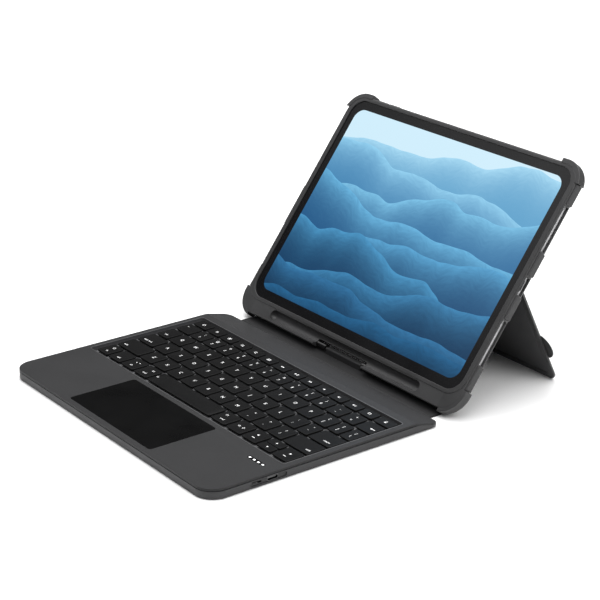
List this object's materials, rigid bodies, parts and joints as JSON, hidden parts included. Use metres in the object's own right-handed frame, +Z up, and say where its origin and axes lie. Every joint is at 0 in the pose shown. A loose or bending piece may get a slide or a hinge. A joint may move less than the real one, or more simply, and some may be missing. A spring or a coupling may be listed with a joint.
{
  "type": "tablet keyboard case",
  "caption": "Folding keyboard case holding a leaning tablet, with a trackpad deck, a hinged flap, a stylus slot, corner bumpers and a back stand.",
  "frame": {"origin": "middle of the footprint, at the desk under the deck's feet", "axes": "+X to the user's right, +Y from the user towards the screen, +Z up"},
  "size_m": [0.2584, 0.3234, 0.1632],
  "materials": {
    "soft_cover": "fine-grained dark grey polyurethane skin",
    "dark_shell": "satin charcoal moulded shell",
    "bumper_rubber": "matte black soft-touch elastomer",
    "key_black": "fine satin black keycap",
    "well_plate": "matte grey plate",
    "gloss_black": "glossy black",
    "pad_surface": "etched black trackpad surface",
    "cover_glass": "polished display glass",
    "display": "lit colour display",
    "alloy": "bead-blasted aluminium",
    "steel": "brushed steel",
    "board": "solder-mask green board",
    "battery_foil": "foil-wrapped cell",
    "light": "clear light pipe",
    "foot_rubber": "matte rubber",
    "magnet": "nickel-plated magnet"
  },
  "bodies": {
    "keyboard": {"deck_lower_shell": "dark_shell", "deck_top_cover": "soft_cover", "key_well_bezel": "dark_shell", "key_plate": "well_plate", "main_board": "board", "deck_batteries": "battery_foil", "led_window": "gloss_black", "led_lights": "light", "charging_socket": "steel", "io_bezel": "gloss_black", "deck_feet": "foot_rubber", "deck_screws": "steel", "trackpad_bracket": "steel"},
    "trackpad": {"trackpad_plate": "pad_surface"},
    "switch": {"power_switch": "dark_shell"},
    "bottom_keys": {"key_row_1": "key_black"},
    "lower_keys": {"key_row_2": "key_black"},
    "home_keys": {"key_row_3": "key_black"},
    "upper_keys": {"key_row_4": "key_black"},
    "number_keys": {"key_row_5": "key_black"},
    "function_keys": {"key_row_6": "key_black"},
    "space_key": {"space_bar": "key_black"},
    "flap": {"flap_skin": "soft_cover", "flap_stiffener": "dark_shell", "flap_magnets": "magnet", "fold_strip": "soft_cover", "locating_tab": "dark_shell"},
    "case": {"case_frame": "bumper_rubber", "case_back_plate": "dark_shell", "case_back_skin": "soft_cover", "camera_surround": "gloss_black", "rim_lip": "bumper_rubber", "bumper_top_left": "bumper_rubber", "bumper_top_right": "bumper_rubber", "bumper_low_left": "bumper_rubber", "bumper_low_right": "bumper_rubber", "side_pads_right": "bumper_rubber", "side_pads_left": "bumper_rubber", "chin_magnets": "magnet", "pivot_bosses": "gloss_black", "pivot_pin": "steel", "stand_knuckles": "steel", "stand_rod": "steel"},
    "power_button": {"power_pad": "bumper_rubber"},
    "volume_down": {"volume_down_pad": "bumper_rubber"},
    "volume_up": {"volume_up_pad": "bumper_rubber"},
    "stand": {"stand_plate": "dark_shell", "stand_lining": "soft_cover", "stand_foot": "foot_rubber", "stand_barrels": "dark_shell", "pull_tab": "bumper_rubber", "tab_rivets": "steel"},
    "tablet": {"tablet_body": "alloy", "tablet_glass": "cover_glass", "display_panel": "display", "tablet_port": "steel", "tablet_buttons": "alloy", "camera_bump": "alloy", "camera_lenses": "gloss_black"}
  },
  "joints": [
    {"name": "flap_fold", "type": "hinge", "parent": "keyboard", "child": "flap", "pos_m": [0, 0.03096, 0.0008], "axis": [1, 0, 0], "range_deg": [0, 90], "deforming": ["fold_strip"]},
    {"name": "case_fold", "type": "hinge", "parent": "flap", "child": "case", "pos_m": [0, 0.04496, 0.00537], "axis": [1, 0, 0], "range_deg": [-20, 36.96]},
    {"name": "stand_fold", "type": "hinge", "parent": "case", "child": "stand", "pos_m": [0, 0.10656, 0.08291], "axis": [-1, 0, 0], "range_deg": [-60, 63.4]},
    {"name": "tablet_lift_out", "type": "slide", "parent": "case", "child": "tablet", "axis": [0, 0.7991, -0.6013], "range_m": [-0.02, 0], "deforming": ["rim_lip"]},
    {"name": "trackpad_click", "type": "hinge", "parent": "keyboard", "child": "trackpad", "pos_m": [0, -0.10463, 0.0069], "axis": [1, 0, 0], "range_deg": [0, 0.55], "stiffness_Nm_per_rad": 5, "springref_deg": -0.69},
    {"name": "switch_slide", "type": "slide", "parent": "keyboard", "child": "switch", "axis": [0, 1, 0], "range_m": [0, 0.0032]},
    {"name": "bottom_press", "type": "slide", "parent": "keyboard", "child": "bottom_keys", "axis": [0, 0, -1], "range_m": [0, 0.0011], "stiffness_N_per_m": 500, "springref_m": -0.0008},
    {"name": "lower_press", "type": "slide", "parent": "keyboard", "child": "lower_keys", "axis": [0, 0, -1], "range_m": [0, 0.0011], "stiffness_N_per_m": 500, "springref_m": -0.0008},
    {"name": "home_press", "type": "slide", "parent": "keyboard", "child": "home_keys", "axis": [0, 0, -1], "range_m": [0, 0.0011], "stiffness_N_per_m": 500, "springref_m": -0.0008},
    {"name": "upper_press", "type": "slide", "parent": "keyboard", "child": "upper_keys", "axis": [0, 0, -1], "range_m": [0, 0.0011], "stiffness_N_per_m": 500, "springref_m": -0.0008},
    {"name": "number_press", "type": "slide", "parent": "keyboard", "child": "number_keys", "axis": [0, 0, -1], "range_m": [0, 0.0011], "stiffness_N_per_m": 500, "springref_m": -0.0008},
    {"name": "function_press", "type": "slide", "parent": "keyboard", "child": "function_keys", "axis": [0, 0, -1], "range_m": [0, 0.0011], "stiffness_N_per_m": 500, "springref_m": -0.0008},
    {"name": "space_press", "type": "slide", "parent": "keyboard", "child": "space_key", "axis": [0, 0, -1], "range_m": [0, 0.0011], "stiffness_N_per_m": 150, "springref_m": -0.0008},
    {"name": "power_press", "type": "slide", "parent": "case", "child": "power_button", "axis": [1, 0, 0], "range_m": [0, 0.0005], "stiffness_N_per_m": 900, "springref_m": -0.0004},
    {"name": "volume_down_press", "type": "slide", "parent": "case", "child": "volume_down", "axis": [0, -0.6013, -0.7991], "range_m": [0, 0.0005], "stiffness_N_per_m": 900, "springref_m": -0.0004},
    {"name": "volume_up_press", "type": "slide", "parent": "case", "child": "volume_up", "axis": [0, -0.6013, -0.7991], "range_m": [0, 0.0005], "stiffness_N_per_m": 900, "springref_m": -0.0004}
  ]
}
